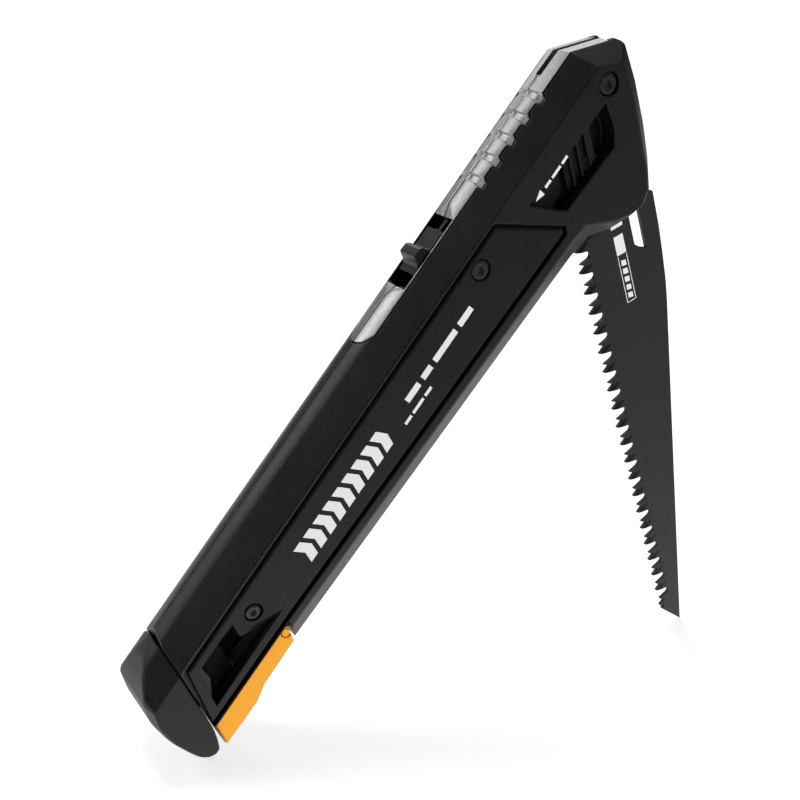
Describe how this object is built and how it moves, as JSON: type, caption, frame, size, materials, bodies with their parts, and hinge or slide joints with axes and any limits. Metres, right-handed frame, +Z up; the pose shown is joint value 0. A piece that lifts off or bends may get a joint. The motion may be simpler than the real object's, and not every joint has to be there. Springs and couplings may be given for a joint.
{
  "type": "folding drywall saw",
  "caption": "Folding drywall jab saw: clamshell handle with metal spine liners, spine thumb lock, blade release button, butt latch and tapered toothed blade.",
  "frame": {"origin": "on the floor the saw stands on, midway along and across it: the middle of the bottom of its bounding box, on the handle's middle plane", "axes": "+Z up, saw standing half open on its butt cap and its blade tip; +Y across the thickness, towards the far half of the handle; +X from the handle side towards the blade side"},
  "size_m": [0.1824, 0.0234, 0.1763],
  "materials": {
    "handle_plastic": "fine moulded texture, black",
    "cap_rubber": "soft matte, black",
    "spine_aluminium": "bead blasted, silver",
    "plain_steel": "plain, lightly brushed",
    "black_screw": "black oxide, semi gloss",
    "orange_plastic": "satin moulded, orange",
    "coated_blade": "black low-friction coating"
  },
  "bodies": {
    "handle": {"shell_right": "handle_plastic", "shell_left": "handle_plastic", "side_panel_right": "handle_plastic", "side_panel_left": "handle_plastic", "butt_cap": "cap_rubber", "liner_right": "spine_aluminium", "liner_left": "spine_aluminium", "pivot_barrel": "plain_steel", "pivot_washer_right": "plain_steel", "pivot_washer_left": "plain_steel", "pivot_screw_right": "black_screw", "pivot_screw_left": "black_screw", "panel_screw_front_right": "black_screw", "panel_screw_front_left": "black_screw", "panel_screw_rear_right": "black_screw", "panel_screw_rear_left": "black_screw", "lock_spring": "plain_steel", "release_spring": "plain_steel", "latch_pin_right": "orange_plastic", "latch_pin_left": "orange_plastic"},
    "blade_unit": {"blade": "coated_blade", "lock_hub": "plain_steel", "blade_carrier_right": "plain_steel", "blade_carrier_left": "plain_steel", "carrier_rivet_1": "plain_steel", "carrier_rivet_2": "plain_steel", "blade_catch_pin": "plain_steel"},
    "thumb_lock": {"thumb_slider": "handle_plastic", "lock_bolt": "black_screw"},
    "release": {"release_button": "handle_plastic"},
    "latch": {"storage_latch": "orange_plastic"}
  },
  "joints": [
    {"name": "blade_fold", "type": "hinge", "parent": "handle", "child": "blade_unit", "pos_m": [0.02111, 0, 0.16583], "axis": [0, -1, 0], "range_deg": [-52, 128]},
    {"name": "lock_slide", "type": "slide", "parent": "handle", "child": "thumb_lock", "axis": [-0.5776, 0, -0.8163], "range_m": [-0.002, 0.003], "stiffness_N_per_m": 60, "deforming": ["lock_spring"]},
    {"name": "release_slide", "type": "slide", "parent": "handle", "child": "release", "axis": [-0.5776, 0, -0.8163], "range_m": [0, 0.0045], "stiffness_N_per_m": 60, "deforming": ["release_spring"]},
    {"name": "latch_turn", "type": "hinge", "parent": "handle", "child": "latch", "pos_m": [-0.05509, 0, 0.0306], "axis": [0, -1, 0], "range_deg": [0, 10], "stiffness_Nm_per_rad": 0.01}
  ]
}
